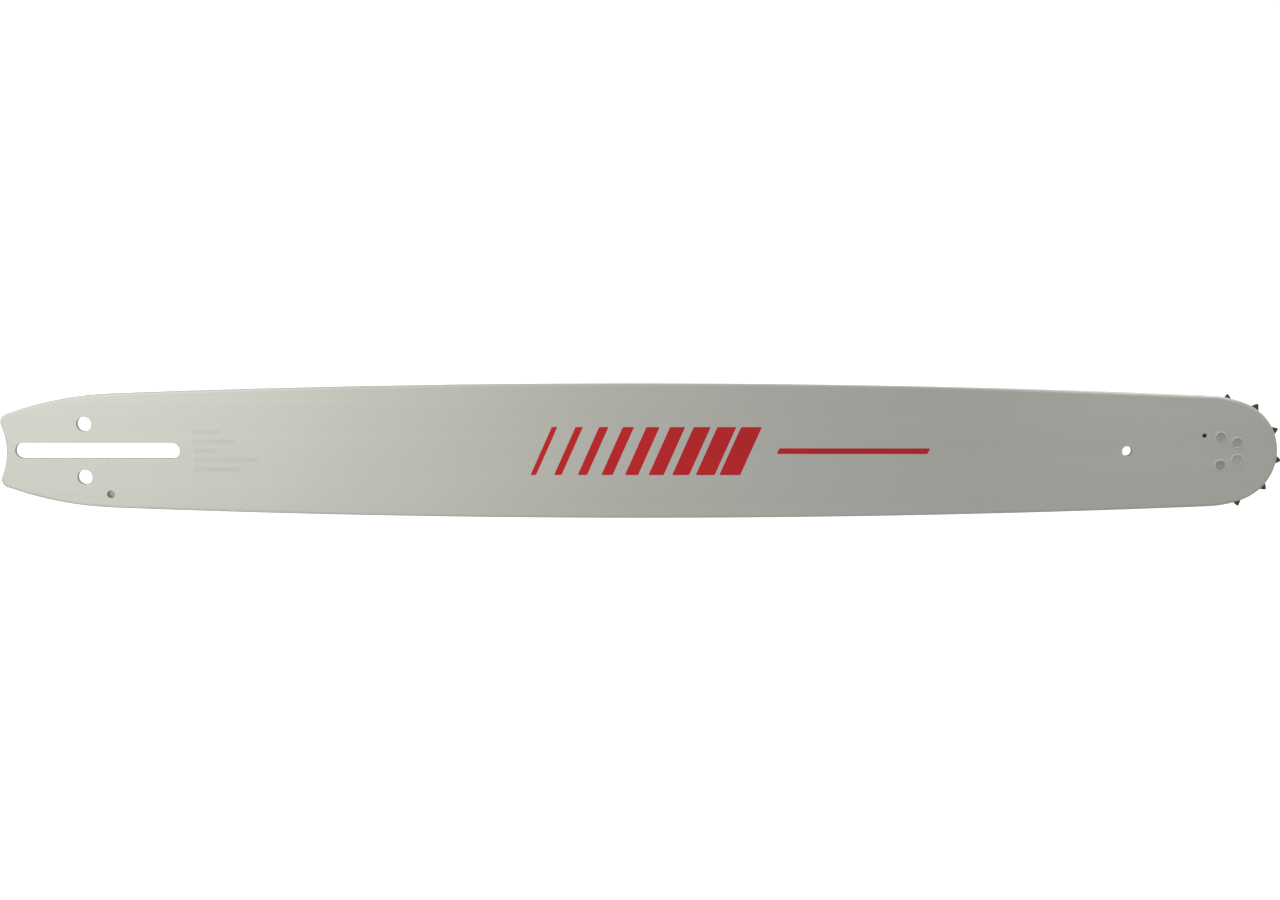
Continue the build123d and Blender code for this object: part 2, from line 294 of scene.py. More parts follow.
class StudioSettings(PropertyGroup):
    """Floor, lamps and camera."""

    floor: colour("Floor", "Pale floor under the bar", (0.50, 0.50, 0.50))
    floor_glow: setting("Floor glow", "Light of the floor itself", 0.92, min=0.0)
    surround: setting("Surround", "Even light from all round", 0.69, min=0.0)
    surround_lean: share("Surround lean", "Extra light on the upper rail's side", 0.5)
    tail_lamp: watts("Tail lamp", "Soft lamp over the tail", 2.3)
    tail_lamp_tint: colour("Tail lamp tint", "Colour of the tail lamp", (1.0, 0.995, 0.955))
    nose_lamp: watts("Nose lamp", "Small lamp that glints in the nose rail", 0.16)
    nose_lamp_tint: colour("Nose lamp tint", "Colour of the nose lamp", (1.0, 0.82, 0.87))
    graze_lamp: watts("Graze lamp", "Low lamp that grazes the front face at the nose", 0.12)
    graze_lamp_tint: colour("Graze lamp tint", "Colour of the grazing lamp", (1.0, 0.97, 0.95))
    camera_distance: length("Camera distance", "Camera to the front face", 1.45)
    camera_tilt: angle("Camera tilt", "Lean of the camera towards the upper rail", 7.0)
    camera_roll: angle("Camera roll", "Turn of the camera about the upright", 0.03)
    focal_length: setting("Focal length", "Focal length of the camera", 73.24, min=1.0, unit="CAMERA")


def flat(x, y):
    """A point of the plane of the bar."""
    return Vector((x, y))


def mirrored(point):
    """The same place on the other side of the centreline."""
    return flat(point.x, -point.y)


def point_at(centre, radius, turn):
    """The point of a circle at an angle from the X direction."""
    return centre + flat(radius * cos(turn), radius * sin(turn))


def toward(centre, radius, target):
    """The point of a circle on the ray from its centre through a target."""
    return centre + (target - centre).normalized() * radius


def height_on(centre, radius, x):
    """The Y of the upper half of a circle at an X."""
    return centre.y + sqrt(radius**2 - (x - centre.x) ** 2)


def left_crossing(first, first_radius, second, second_radius):
    """Where two circles cross, on the left as seen from the first centre."""
    way = second - first
    along = (first_radius**2 - second_radius**2 + way.length_squared) / (2 * way.length)
    across = sqrt(first_radius**2 - along**2)
    ahead = way.normalized()
    return first + ahead * along + flat(-ahead.y, ahead.x) * across


def arc(centre, start, end, chord=RAIL_CHORD):
    """Points of the short arc from start to end, without the end itself."""
    spoke = start - centre
    last = end - centre
    turn = atan2(spoke.cross(last), spoke.dot(last))
    count = max(2, ceil(abs(turn) * spoke.length / chord), ceil(abs(turn) / ARC_STEP))
    return [centre + Matrix.Rotation(turn * index / count, 2) @ spoke for index in range(count)]


def round_hole(centre, radius):
    """A round hole, clockwise, so that the metal lies to the left."""
    return [point_at(centre, radius, -2 * pi * index / HOLE_SIDES) for index in range(HOLE_SIDES)]


def long_hole(centre, overall, radius):
    """A slot with round ends, clockwise."""
    reach = flat(overall / 2 - radius, 0)
    sides = HOLE_SIDES // 2
    turns = [pi * index / sides for index in range(sides + 1)]
    nose_end = [point_at(centre + reach, radius, pi / 2 - turn) for turn in turns]
    tail_end = [point_at(centre - reach, radius, -pi / 2 - turn) for turn in turns]
    return nose_end + tail_end


def softened(before, corner, after, reach):
    """A corner rounded by a reach along both of its sides."""
    start = corner + (before - corner).normalized() * reach
    end = corner + (after - corner).normalized() * reach
    steps = [index / ROUND_STEPS for index in range(ROUND_STEPS + 1)]
    return [start * (1 - t) ** 2 + corner * 2 * t * (1 - t) + end * t**2 for t in steps]


def softened_profile(corners, reach):
    """An edge profile of (inset, level) corners, rounded at each corner between its ends."""
    rows = [flat(*corner) for corner in corners]
    inner = [softened(*rows[index - 1 : index + 2], reach) for index in range(1, len(rows) - 1)]
    return [rows[0], *[point for corner in inner for point in corner], rows[-1]]


def plain_edge(foot, face, ease):
    """The profile of an upright wall between two levels, rounded at both."""
    return softened_profile([(2 * ease, foot), (0, foot), (0, face), (2 * ease, face)], ease)


def softened_loop(corners, reach):
    """A closed outline, rounded at each of its corners."""
    count = len(corners)
    trios = [(corners[index - 1], corners[index], corners[(index + 1) % count]) for index in range(count)]
    return [point for trio in trios for point in softened(*trio, reach)]


def slanted_bar(start, width, level, height, slant, corner):
    """A leaning bar, counter-clockwise, its corners rounded by at most a third of a side."""
    lean = height / 2 * tan(slant)
    low, high = level - height / 2, level + height / 2
    corners = [
        flat(start - lean, low),
        flat(start + width - lean, low),
        flat(start + width + lean, high),
        flat(start + lean, high),
    ]
    return softened_loop(corners, min(corner, width / 3, height / 3))


def clear_of_metal(loop):
    """The way out of the metal at each point of a loop that has it on its left, longer at sharp corners."""
    ways = []
    for index, point in enumerate(loop):
        back = (point - loop[index - 1]).normalized()
        ahead = (loop[(index + 1) % len(loop)] - point).normalized()
        first = flat(back.y, -back.x)
        second = flat(ahead.y, -ahead.x)
        ways.append((first + second) / (1 + first.dot(second)))
    return ways


def rivet_place(number):
    """The middle of a nose rivet."""
    low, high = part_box(f"nose_rivet_{number}")
    return (low + high) / 2


def plate_outline(sizes, slot_length):
    """The outline of a side plate, counter-clockwise from the upper end of the nose arc."""
    tail_x = -(slot_length / 2 + sizes.slot_end_wall + sizes.tail_notch_depth)
    middle_x = (tail_x + NOSE.x + sizes.nose_radius) / 2
    bow_reach = NOSE.x - middle_x
    bow_radius = (bow_reach**2 + sizes.rail_bow**2) / (2 * sizes.rail_bow)
    half_height = sizes.nose_radius + sizes.nose_shoulder_rise + sizes.rail_bow
    bow = flat(middle_x, half_height - bow_radius)
    shoulder_radius = sizes.nose_shoulder_radius
    shoulder = left_crossing(bow, bow_radius - shoulder_radius, NOSE, shoulder_radius - sizes.nose_radius)
    nose_end = toward(shoulder, shoulder_radius, NOSE)
    rail_front = toward(bow, bow_radius, shoulder)
    rail_back_x = tail_x + sizes.tail_shoulder_length
    rail_back = flat(rail_back_x, height_on(bow, bow_radius, rail_back_x))
    tail_radius = sizes.tail_shoulder_radius
    tail_shoulder = toward(bow, bow_radius - tail_radius, rail_back)
    lobe_x = tail_x + sizes.tail_corner_radius
    lobe = flat(lobe_x, height_on(tail_shoulder, tail_radius - sizes.tail_corner_radius, lobe_x))
    shoulder_end = toward(tail_shoulder, tail_radius, lobe)
    depth = sizes.tail_notch_depth
    notch_radius = (depth**2 + lobe.y**2) / (2 * depth) - sizes.tail_corner_radius
    notch = flat(tail_x + depth - notch_radius, 0)
    notch_end = toward(notch, notch_radius, lobe)
    upper = [
        *arc(shoulder, nose_end, rail_front),
        *arc(bow, rail_front, rail_back),
        *arc(tail_shoulder, rail_back, shoulder_end),
        *arc(lobe, shoulder_end, notch_end),
        notch_end,
    ]
    hollow = arc(notch, notch_end, mirrored(notch_end))[1:]
    lower = [mirrored(point) for point in reversed(upper)]
    nose = arc(NOSE, mirrored(nose_end), nose_end)[1:]
    return upper + hollow + lower + nose


def wheel_outline(sizes, tip_radius):
    """The star wheel about its own centre, counter-clockwise, with straight flanks and round gullets."""
    centre = flat(0, 0)
    pitch = 2 * pi / sizes.tooth_count
    tip = point_at(centre, tip_radius, asin(sizes.tooth_tip_width / 2 / tip_radius))
    knee = tip + flat(-sizes.tooth_reach, sizes.tooth_reach * tan(sizes.tooth_point_angle))
    flank_normal = point_at(centre, 1, pi / 2 - sizes.tooth_flank_angle)
    gullet_ray = point_at(centre, 1, pitch / 2)
    gullet_rise = sizes.tooth_gullet_radius + knee.dot(flank_normal)
    gullet = gullet_ray * (gullet_rise / gullet_ray.dot(flank_normal))
    foot = gullet - flank_normal * sizes.tooth_gullet_radius
    next_foot = Matrix.Rotation(pitch, 2) @ mirrored(foot)
    ease = sizes.tooth_ease
    half = [*softened(mirrored(tip), tip, knee, ease), *softened(tip, knee, foot, ease)]
    tooth = [mirrored(place) for place in reversed(half)] + half
    tooth += [*arc(gullet, foot, next_foot, chord=GULLET_CHORD), next_foot]
    turns = [Matrix.Rotation(sizes.wheel_phase + index * pitch, 2) for index in range(sizes.tooth_count)]
    return [turn @ place for turn in turns for place in tooth]


def sweep_edges(form, edges, foot_skin, face_skin):
    """A plate with holes, from edges: a loop, its (inset, level) rows and a finish for each strip."""
    feet, faces = [], []
    for loop, profile, skins in edges:
        ways = clear_of_metal(loop)
        rows = []
        for inset, level in profile:
            rows.append([form.verts.new((*(point - way * inset), level)) for point, way in zip(loop, ways)])
        for lower, upper, skin in zip(rows, rows[1:], skins):
            for index in range(len(loop)):
                after = (index + 1) % len(loop)
                strip = form.faces.new((lower[index], lower[after], upper[after], upper[index]))
                strip.smooth = True
                strip.material_index = skin
        for rim, row in ((feet, rows[0]), (faces, rows[-1])):
            rim += [form.edges.get((vert, row[index - 1])) for index, vert in enumerate(row)]
    for rim, way, skin in ((feet, -1, foot_skin), (faces, 1, face_skin)):
        filled = bmesh.ops.triangle_fill(form, use_beauty=True, edges=rim, normal=(0, 0, way))
        lids = [item for item in filled["geom"] if isinstance(item, bmesh.types.BMFace)]
        if not lids:
            raise RuntimeError("a face of the plate could not be filled")
        for lid in lids:
            lid.material_index = skin
            if lid.normal.z * way < 0:
                lid.normal_flip()


def painted_above(profile, level, bare):
    """The finish of each strip of a profile: paint above a level, and bare below it."""
    return [PAINT if (low.y + high.y) / 2 > level else bare for low, high in zip(profile, profile[1:])]


def turn_profile(form, profile, sides):
    """A turned piece about Z: (radius, level) rows from the axis at its top to the axis at its foot."""
    top = form.verts.new((0, 0, profile[0][1]))
    foot = form.verts.new((0, 0, profile[-1][1]))
    turns = [2 * pi * index / sides for index in range(sides)]
    rows = []
    for radius, level in profile[1:-1]:
        rows.append([form.verts.new((*point_at(flat(0, 0), radius, turn), level)) for turn in turns])
    for index in range(sides):
        after = (index + 1) % sides
        form.faces.new((top, rows[0][index], rows[0][after]))
        for high, low in zip(rows, rows[1:]):
            form.faces.new((high[index], low[index], low[after], high[after]))
        form.faces.new((foot, rows[-1][after], rows[-1][index]))
    for face in form.faces:
        face.smooth = True


def add_piece(name, form, finishes, body, place=(0, 0, 0), replaces=()):
    """Turns a form into a piece of the bar that rides on a body."""
    mesh = bpy.data.meshes.new(name)
    form.to_mesh(mesh)
    form.free()
    for finish in finishes:
        mesh.materials.append(finish)
    piece = bpy.data.objects.new(name, mesh)
    piece.location = place
    bpy.context.scene.collection.objects.link(piece)
    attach(piece, body)
    if replaces:
        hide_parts(*replaces)


def set_inputs(tree, node, inputs):
    """Sets inputs of a node to values, or links them to other nodes."""
    for name, value in inputs.items():
        if isinstance(value, bpy.types.NodeSocket):
            tree.links.new(value, node.inputs[name])
        else:
            node.inputs[name].default_value = value


def add_node(tree, kind, inputs, **settings):
    """A new node of a tree, with its inputs and settings."""
    node = tree.nodes.new(kind)
    for name, value in settings.items():
        setattr(node, name, value)
    set_inputs(tree, node, inputs)
    return node


def add_range(tree, source, low, high, source_low, source_high):
    """A texture moved from the range that it has to another."""
    limits = {"From Min": source_low, "From Max": source_high, "To Min": low, "To Max": high}
    return add_node(tree, "ShaderNodeMapRange", {"Value": source, **limits}).outputs["Result"]


class Finish:
    """A material in the making: its shader, and textures in the frame of the piece that wears it."""

    def __init__(self, name, tint, roughness, metallic=0.0, specular=0.5):
        self.material = bpy.data.materials.new(name)
        self.material.use_nodes = True
        self.tree = self.material.node_tree
        self.tint = Vector(tint)
        self.place = add_node(self.tree, "ShaderNodeTexCoord", {}).outputs["Object"]
        self.wear({"Base Color": (*tint, 1), "Roughness": roughness})
        self.wear({"Metallic": metallic, "Specular IOR Level": specular})

    def wear(self, inputs):
        """Sets inputs of the shader to values, or links them to textures."""
        set_inputs(self.tree, self.tree.nodes["Principled BSDF"], inputs)

    def grain(self, spread, detail=2.0, distortion=0.0):
        """A noise with that many features to the metre along X, Y and Z."""
        mapping = add_node(self.tree, "ShaderNodeMapping", {"Vector": self.place, "Scale": spread})
        kind = {"Scale": 1.0, "Detail": detail, "Distortion": distortion}
        noise = add_node(self.tree, "ShaderNodeTexNoise", {"Vector": mapping.outputs["Vector"], **kind})
        return noise.outputs["Fac"]

    def rings(self, per_metre, distortion):
        """Turning marks about the Z axis of the piece."""
        inputs = {"Vector": self.place, "Scale": per_metre * WAVE_LENGTH, "Distortion": distortion}
        wave = add_node(self.tree, "ShaderNodeTexWave", inputs, wave_type="RINGS", rings_direction="Z")
        return wave.outputs["Fac"]

    def from_axis(self):
        """The distance from the Z axis of the piece."""
        kind = "ShaderNodeVectorMath"
        level = add_node(self.tree, kind, {0: self.place, 1: (1, 1, 0)}, operation="MULTIPLY")
        return add_node(self.tree, kind, {0: level.outputs["Vector"]}, operation="LENGTH").outputs["Value"]

    def scaled(self, source, low, high, source_low=NOISE_LOW, source_high=NOISE_HIGH):
        """A texture spread between two values."""
        return add_range(self.tree, source, low, high, source_low, source_high)

    def blend(self, *parts):
        """The sum of textures, each with its share and, where it isn't a noise, the range it has."""
        total, *others = [self.scaled(source, 0, *limits) for source, *limits in parts]
        for other in others:
            joined = add_node(self.tree, "ShaderNodeMath", {0: total, 1: other}, operation="ADD")
            total = joined.outputs["Value"]
        return total

    def shade(self, source, dark, light):
        """Colours the piece from a darker to a lighter tone of its own colour."""
        ramp = add_node(self.tree, "ShaderNodeValToRGB", {"Fac": source})
        for stop, tone in zip(ramp.color_ramp.elements, (dark, light)):
            stop.color = (*(self.tint * tone), 1)
        self.wear({"Base Color": ramp.outputs["Color"]})

    def made(self, gloss, low, high, bumps, depth):
        """The material, with one texture in its roughness and another raised by a depth in metres."""
        relief = {"Height": bumps, "Distance": depth, "Strength": BUMP_STRENGTH}
        normal = add_node(self.tree, "ShaderNodeBump", relief).outputs["Normal"]
        self.wear({"Roughness": self.scaled(gloss, low, high), "Normal": normal})
        return self.material


def plate_paint(colours):
    """Satin grey paint: faint lengthwise streaks, soft clouds and a fine orange peel."""
    roughness, streak = colours.paint_roughness, colours.paint_streak
    paint = Finish("plate_paint", colours.paint, roughness)
    streaks = paint.grain((2.5, 170, 170), detail=3.0)
    clouds = paint.grain((16, 16, 16))
    peel = paint.grain((2100, 2100, 2100))
    paint.shade(paint.blend((streaks, 0.5), (clouds, 0.3), (peel, 0.08)), 1 - streak, 1 + streak)
    return paint.made(peel, roughness - PAINT_STRAY, roughness + PAINT_STRAY, peel, 0.002 * MM)


def rail_steel(colours):
    """Ground running edges: fine scratches along the rail."""
    steel = Finish("rail_steel", colours.rail, 0.4, metallic=1.0)
    scratches = steel.grain((25, 25, 9000), detail=3.0)
    wear = steel.grain((60, 60, 200))
    steel.shade(steel.blend((scratches, 0.6), (wear, 0.4)), 0.82, 1.08)
    return steel.made(scratches, 0.32, 0.48, scratches, 0.003 * MM)


def cut_steel(colours):
    """Cut walls of the holes: fine upright draw lines under a thin matt overspray."""
    steel = Finish("cut_steel", colours.cut, 0.75, specular=0.2)
    lines = steel.grain((2600, 2600, 160))
    scale = steel.grain((220, 220, 220), detail=3.0)
    steel.shade(steel.blend((lines, 0.5), (scale, 0.5)), 0.72, 1.15)
    return steel.made(lines, 0.68, 0.84, lines, 0.006 * MM)


def inner_steel(colours):
    """Rolled inner faces of the plates: mill marks along the bar under a thin film of oil."""
    steel = Finish("inner_steel", colours.inner, 0.42, metallic=1.0)
    mill = steel.grain((24, 1500, 1500), detail=3.0)
    film = steel.grain((140, 140, 140), detail=3.0, distortion=0.5)
    steel.shade(steel.blend((mill, 0.5), (film, 0.5)), 0.8, 1.12)
    return steel.made(film, 0.34, 0.54, mill, 0.003 * MM)


def core_steel(colours):
    """Oiled inner plate: mill marks along the bar and dark patches of oil."""
    steel = Finish("oiled_core", colours.core, 0.65, metallic=0.5)
    mill = steel.grain((30, 1800, 1800), detail=3.0)
    oil = steel.grain((70, 70, 70), detail=4.0, distortion=0.6)
    steel.shade(steel.blend((mill, 0.4), (oil, 0.6)), 0.6, 1.2)
    return steel.made(oil, 0.52, 0.8, mill, 0.004 * MM)


def oxide_steel(colours, tip_radius):
    """Dark oxide of the star wheel: a matt crystal grain, rubbed a little towards the tooth tips."""
    steel = Finish("wheel_oxide", colours.oxide, 0.5, metallic=0.85)
    crystal = steel.grain((1500, 1500, 1500), detail=3.0)
    patches = steel.grain((160, 160, 160))
    rubbed = (steel.from_axis(), 0.25, tip_radius - RUBBED_REACH, tip_radius)
    steel.shade(steel.blend((crystal, 0.4), (patches, 0.35), rubbed), 0.75, 1.35)
    return steel.made(crystal, 0.42, 0.6, crystal, 0.004 * MM)


def flank_steel(colours):
    """Bare edges of the star wheel: punched, with upright shear lines and a straw tint."""
    steel = Finish("wheel_edge", colours.flank, 0.4, metallic=1.0)
    lines = steel.grain((2400, 2400, 250))
    tint = steel.grain((300, 300, 300))
    steel.shade(steel.blend((lines, 0.5), (tint, 0.5)), 0.7, 1.15)
    return steel.made(lines, 0.32, 0.5, lines, 0.004 * MM)


def bearing_steel(colours):
    """Lapped race and rollers, dulled in patches by a film of grease."""
    steel = Finish("lapped_bearing", colours.bearing, 0.2, metallic=1.0)
    film = steel.grain((420, 420, 420), detail=3.0, distortion=0.4)
    lap = steel.grain((90, 90, 5200))
    steel.shade(film, 0.78, 1.06)
    return steel.made(film, 0.14, 0.34, lap, 0.001 * MM)


def rivet_steel(colours, number):
    """Set rivet head: turning rings, soft stains and its own tone."""
    tint = [level * tone for level, tone in zip(colours.rivet, RIVET_TONES[number])]
    steel = Finish(f"rivet_head_{number}", tint, 0.42, metallic=1.0)
    rings = steel.rings(2600, distortion=1.5 + 0.6 * number)
    stain = steel.grain((520 + 40 * number, 520, 520), detail=3.0, distortion=0.3)
    steel.shade(steel.blend((rings, 0.35, 0, 1), (stain, 0.65)), 0.88, 1.10)
    return steel.made(stain, 0.40, 0.56, rings, 0.003 * MM)


def print_ink(colours):
    """Screen printed red: a faint mesh mottle, a little thinner in places."""
    ink = Finish("bar_print", colours.ink, 0.5, specular=0.25)
    mottle = ink.grain((900, 900, 900), detail=3.0)
    drift = ink.grain((60, 60, 60))
    ink.shade(ink.blend((mottle, 0.5), (drift, 0.5)), 0.9, 1.08)
    return ink.made(mottle, 0.44, 0.58, mottle, 0.002 * MM)


def etched_paint(colours):
    """Paint browned by etching: fine burnt dots in uneven rows."""
    etch = Finish("etched_paint", colours.etch, 0.55)
    dots = etch.grain((1300, 2600, 1300))
    drift = etch.grain((120, 120, 120))
    etch.shade(etch.blend((dots, 0.5), (drift, 0.5)), 0.93, 1.08)
    return etch.made(dots, 0.48, 0.62, dots, 0.002 * MM)


def nose_grease(colours):
    """Dark red grease: wet, with soft swirls."""
    grease = Finish("nose_grease", colours.grease, 0.22, specular=0.35)
    swirl = grease.grain((700, 700, 700), distortion=1.2)
    grease.shade(swirl, 0.7, 1.5)
    return grease.made(swirl, 0.14, 0.34, swirl, 0.05 * MM)


def floor_sheet(studio):
    """Pale lit sheet with a faint cloud in its gloss."""
    sheet = Finish("floor_sheet", studio.floor, 0.7)
    sheet.wear({"Emission Color": (1, 1, 1, 1), "Emission Strength": studio.floor_glow})
    sheet.wear({"Roughness": sheet.scaled(sheet.grain((4, 4, 4)), 0.66, 0.78)})
    return sheet.material


def dress_nodes(nodes, finish):
    """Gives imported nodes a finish, in the slots they have."""
    for node in nodes:
        for slot in frame["nodes"][node].material_slots:
            slot.material = finish


class BarStep:
    """A step of the dressing, which can be undone."""

    bl_options = {"REGISTER", "UNDO"}


class GUIDE_BAR_OT_side_plates(BarStep, Operator):
    """Builds both side plates, with their eased edges and holes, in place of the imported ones"""

    bl_idname = "guide_bar.side_plates"
    bl_label = "Side Plates"

    def execute(self, context):
        sizes = context.scene.guide_bar_plate
        nose = context.scene.guide_bar_nose
        colours = context.scene.guide_bar_finish
        finishes = [plate_paint(colours), rail_steel(colours), cut_steel(colours), inner_steel(colours)]
        form = bmesh.new()
        sweep_edges(form, self.edges(sizes, nose), foot_skin=INNER, face_skin=PAINT)
        turned = form.copy()
        turn_over = Matrix.Translation((0, 0, FRONT_FACE)) @ Matrix.Rotation(pi, 4, "X")
        bmesh.ops.transform(turned, matrix=turn_over, verts=turned.verts)
        add_piece("front_plate", form, finishes, "bar", replaces=["front_side_plate"])
        add_piece("back_plate", turned, finishes, "bar", replaces=["back_side_plate"])
        return {"FINISHED"}

    def edges(self, sizes, nose):
        """The rails and the holes of the front plate, as edges to sweep."""
        slot = MOUNTS["stud_slot"]["dims"]
        slot_length = slot["slot_length_mm"] * MM
        rail = self.rail_profile(sizes)
        paint_end = FRONT_FACE - sizes.edge_drop - PAINT_LAP * sizes.edge_ease
        edges = [(plate_outline(sizes, slot_length), rail, painted_above(rail, paint_end, bare=RAIL))]
        holes = [long_hole(flat(0, 0), slot_length, slot["hole_r_mm"] * MM)]
        for name in ROUND_HOLES:
            mount = MOUNTS[name]
            holes.append(round_hole(Vector(mount["pos_m"][:2]), mount["dims"]["r_mm"] * MM))
        paint_end = FRONT_FACE - sizes.hole_ease
        wall = plain_edge(PLATE_FOOT, FRONT_FACE, sizes.hole_ease)
        wall_skins = painted_above(wall, paint_end, bare=CUT)
        edges += [(hole, wall, wall_skins) for hole in holes]
        sink = self.sink_profile(nose)
        sink_skins = painted_above(sink, paint_end, bare=CUT)
        for number in RIVET_TONES:
            hole = round_hole(rivet_place(number).xy, nose.rivet_hole_radius)
            edges.append((hole, sink, sink_skins))
        return edges

    def rail_profile(self, sizes):
        """From the inner face round the groove chamfer, up the rail and over its rolled edge."""
        ease = sizes.edge_ease
        roll_end = sizes.rail_chamfer + sizes.edge_roll
        corners = [
            (sizes.groove_chamfer + 2 * ease, PLATE_FOOT),
            (sizes.groove_chamfer, PLATE_FOOT),
            (0, PLATE_FOOT + sizes.groove_chamfer),
            (0, FRONT_FACE - sizes.rail_chamfer),
            (sizes.rail_chamfer, FRONT_FACE - sizes.edge_drop),
            (roll_end, FRONT_FACE),
            (roll_end + 2 * ease, FRONT_FACE),
        ]
        return softened_profile(corners, ease)

    def sink_profile(self, nose):
        """Up a rivet hole and its countersink, and over the swelling of the plate."""
        sink = nose.rivet_countersink
        lip = nose.sink_lip
        profile = [flat(0, PLATE_FOOT), flat(0, FRONT_FACE - sink), flat(sink - lip, FRONT_FACE - lip)]
        for out, up in SWELL_ROWS:
            profile.append(flat(sink + out * nose.swell_width, FRONT_FACE + up * nose.swell_height))
        return profile


class GUIDE_BAR_OT_core(BarStep, Operator):
    """Gives the inner plate its oiled steel"""

    bl_idname = "guide_bar.core"
    bl_label = "Core Plate"

    def execute(self, context):
        dress_nodes(["core_plate"], core_steel(context.scene.guide_bar_finish))
        return {"FINISHED"}


class GUIDE_BAR_OT_bearing(BarStep, Operator):
    """Gives the race and the rollers of the nose their lapped steel"""

    bl_idname = "guide_bar.bearing"
    bl_label = "Nose Bearing"

    def execute(self, context):
        rollers = sorted(name for name in frame["nodes"] if name.startswith("roller_"))
        if not rollers:
            raise RuntimeError("the frame holds no rollers")
        dress_nodes(["bearing_race", *rollers], bearing_steel(context.scene.guide_bar_finish))
        return {"FINISHED"}


class GUIDE_BAR_OT_star_wheel(BarStep, Operator):
    """Builds the star wheel of the nose, with eased teeth and bare edges"""

    bl_idname = "guide_bar.star_wheel"
    bl_label = "Star Wheel"

    def execute(self, context):
        sizes = context.scene.guide_bar_nose
        colours = context.scene.guide_bar_finish
        tip_radius = context.scene.guide_bar_plate.nose_radius + sizes.tooth_reach
        middle = (WHEEL_FOOT + WHEEL_FACE) / 2
        profile = plain_edge(WHEEL_FOOT - middle, WHEEL_FACE - middle, sizes.tooth_ease)
        skins = [EDGE] * (len(profile) - 1)
        edges = [
            (wheel_outline(sizes, tip_radius), profile, skins),
            (round_hole(flat(0, 0), sizes.bore_radius), profile, skins),
        ]
        form = bmesh.new()
        sweep_edges(form, edges, foot_skin=OXIDE, face_skin=OXIDE)
        add_piece(
            "star_wheel",
            form,
            [oxide_steel(colours, tip_radius), flank_steel(colours)],
            "sprocket",
            place=(*NOSE, middle),
            replaces=["nose_sprocket"],
        )
        return {"FINISHED"}


class GUIDE_BAR_OT_rivets(BarStep, Operator):
    """Builds the four nose rivets, dished and nearly flush, each with its own tone"""

    bl_idname = "guide_bar.rivets"
    bl_label = "Nose Rivets"

    def execute(self, context):
        sizes = context.scene.guide_bar_nose
        colours = context.scene.guide_bar_finish
        for number in RIVET_TONES:
            form = bmesh.new()
            turn_profile(form, self.profile(sizes), HOLE_SIDES)
            add_piece(
                f"rivet_{number}",
                form,
                [rivet_steel(colours, number)],
                "bar",
                place=rivet_place(number),
                replaces=[f"nose_rivet_{number}"],
            )
        return {"FINISHED"}

    def profile(self, sizes):
        """A rivet from the axis of one head to the other: dished face, rolled rim, cone, shank."""
        half = FRONT_FACE / 2
        shank = sizes.rivet_hole_radius - sizes.rivet_clearance
        rim = shank + sizes.rivet_countersink
        face = [(radius * MM, half - depth * MM) for radius, depth in RIVET_HOLLOW + RIVET_SHOULDER]
        edge = [(rim - inset * MM, half - depth * MM) for inset, depth in RIVET_RIM]
        upper = [*face, *edge, (shank, half - sizes.rivet_countersink)]
        return upper + [(radius, -level) for radius, level in reversed(upper)]


class GUIDE_BAR_OT_grease(BarStep, Operator):
    """Fills both grease ports of the nose with a plug of grease"""

    bl_idname = "guide_bar.grease"
    bl_label = "Nose Grease"

    def execute(self, context):
        sizes = context.scene.guide_bar_nose
        finish = nose_grease(context.scene.guide_bar_finish)
        middle = FRONT_FACE / 2
        for face, way in (("front", 1), ("back", -1)):
            mount = MOUNTS[f"grease_port_{face}"]
            radius = mount["dims"]["r_mm"] * MM - sizes.grease_clearance
            form = bmesh.new()
            turn_profile(form, self.profile(sizes, radius), GREASE_SIDES)
            self.stir(form, sizes, radius)
            if way < 0:
                bmesh.ops.transform(form, matrix=Matrix.Rotation(pi, 4, "X"), verts=form.verts)
            x, y, _ = mount["pos_m"]
            level = middle + way * (PLATE_FOOT + sizes.grease_seat - middle)
            add_piece(f"grease_{face}", form, [finish], "bar", place=(x, y, level))
        return {"FINISHED"}

    def profile(self, sizes, radius):
        """A plug of grease that sinks in its middle and climbs the wall of its port."""
        crown = []
        for step in range(GREASE_STEPS + 1):
            out = step / GREASE_STEPS
            crown.append((radius * out, sizes.grease_height - sizes.grease_hollow * cos(pi * out)))
        return [*crown, (radius, 0.0), (0.0, 0.0)]

    def stir(self, form, sizes, radius):
        """Pulls the top of the grease into a swirl that fades towards its wall."""
        for vert in form.verts:
            if vert.co.z > sizes.grease_height / 2:
                out = vert.co.xy.length / radius
                turn = atan2(vert.co.y, vert.co.x)
                vert.co.z += sizes.grease_swirl * sin(SWIRL_ARMS * turn + SWIRL_TWIST * out) * (1 - out)


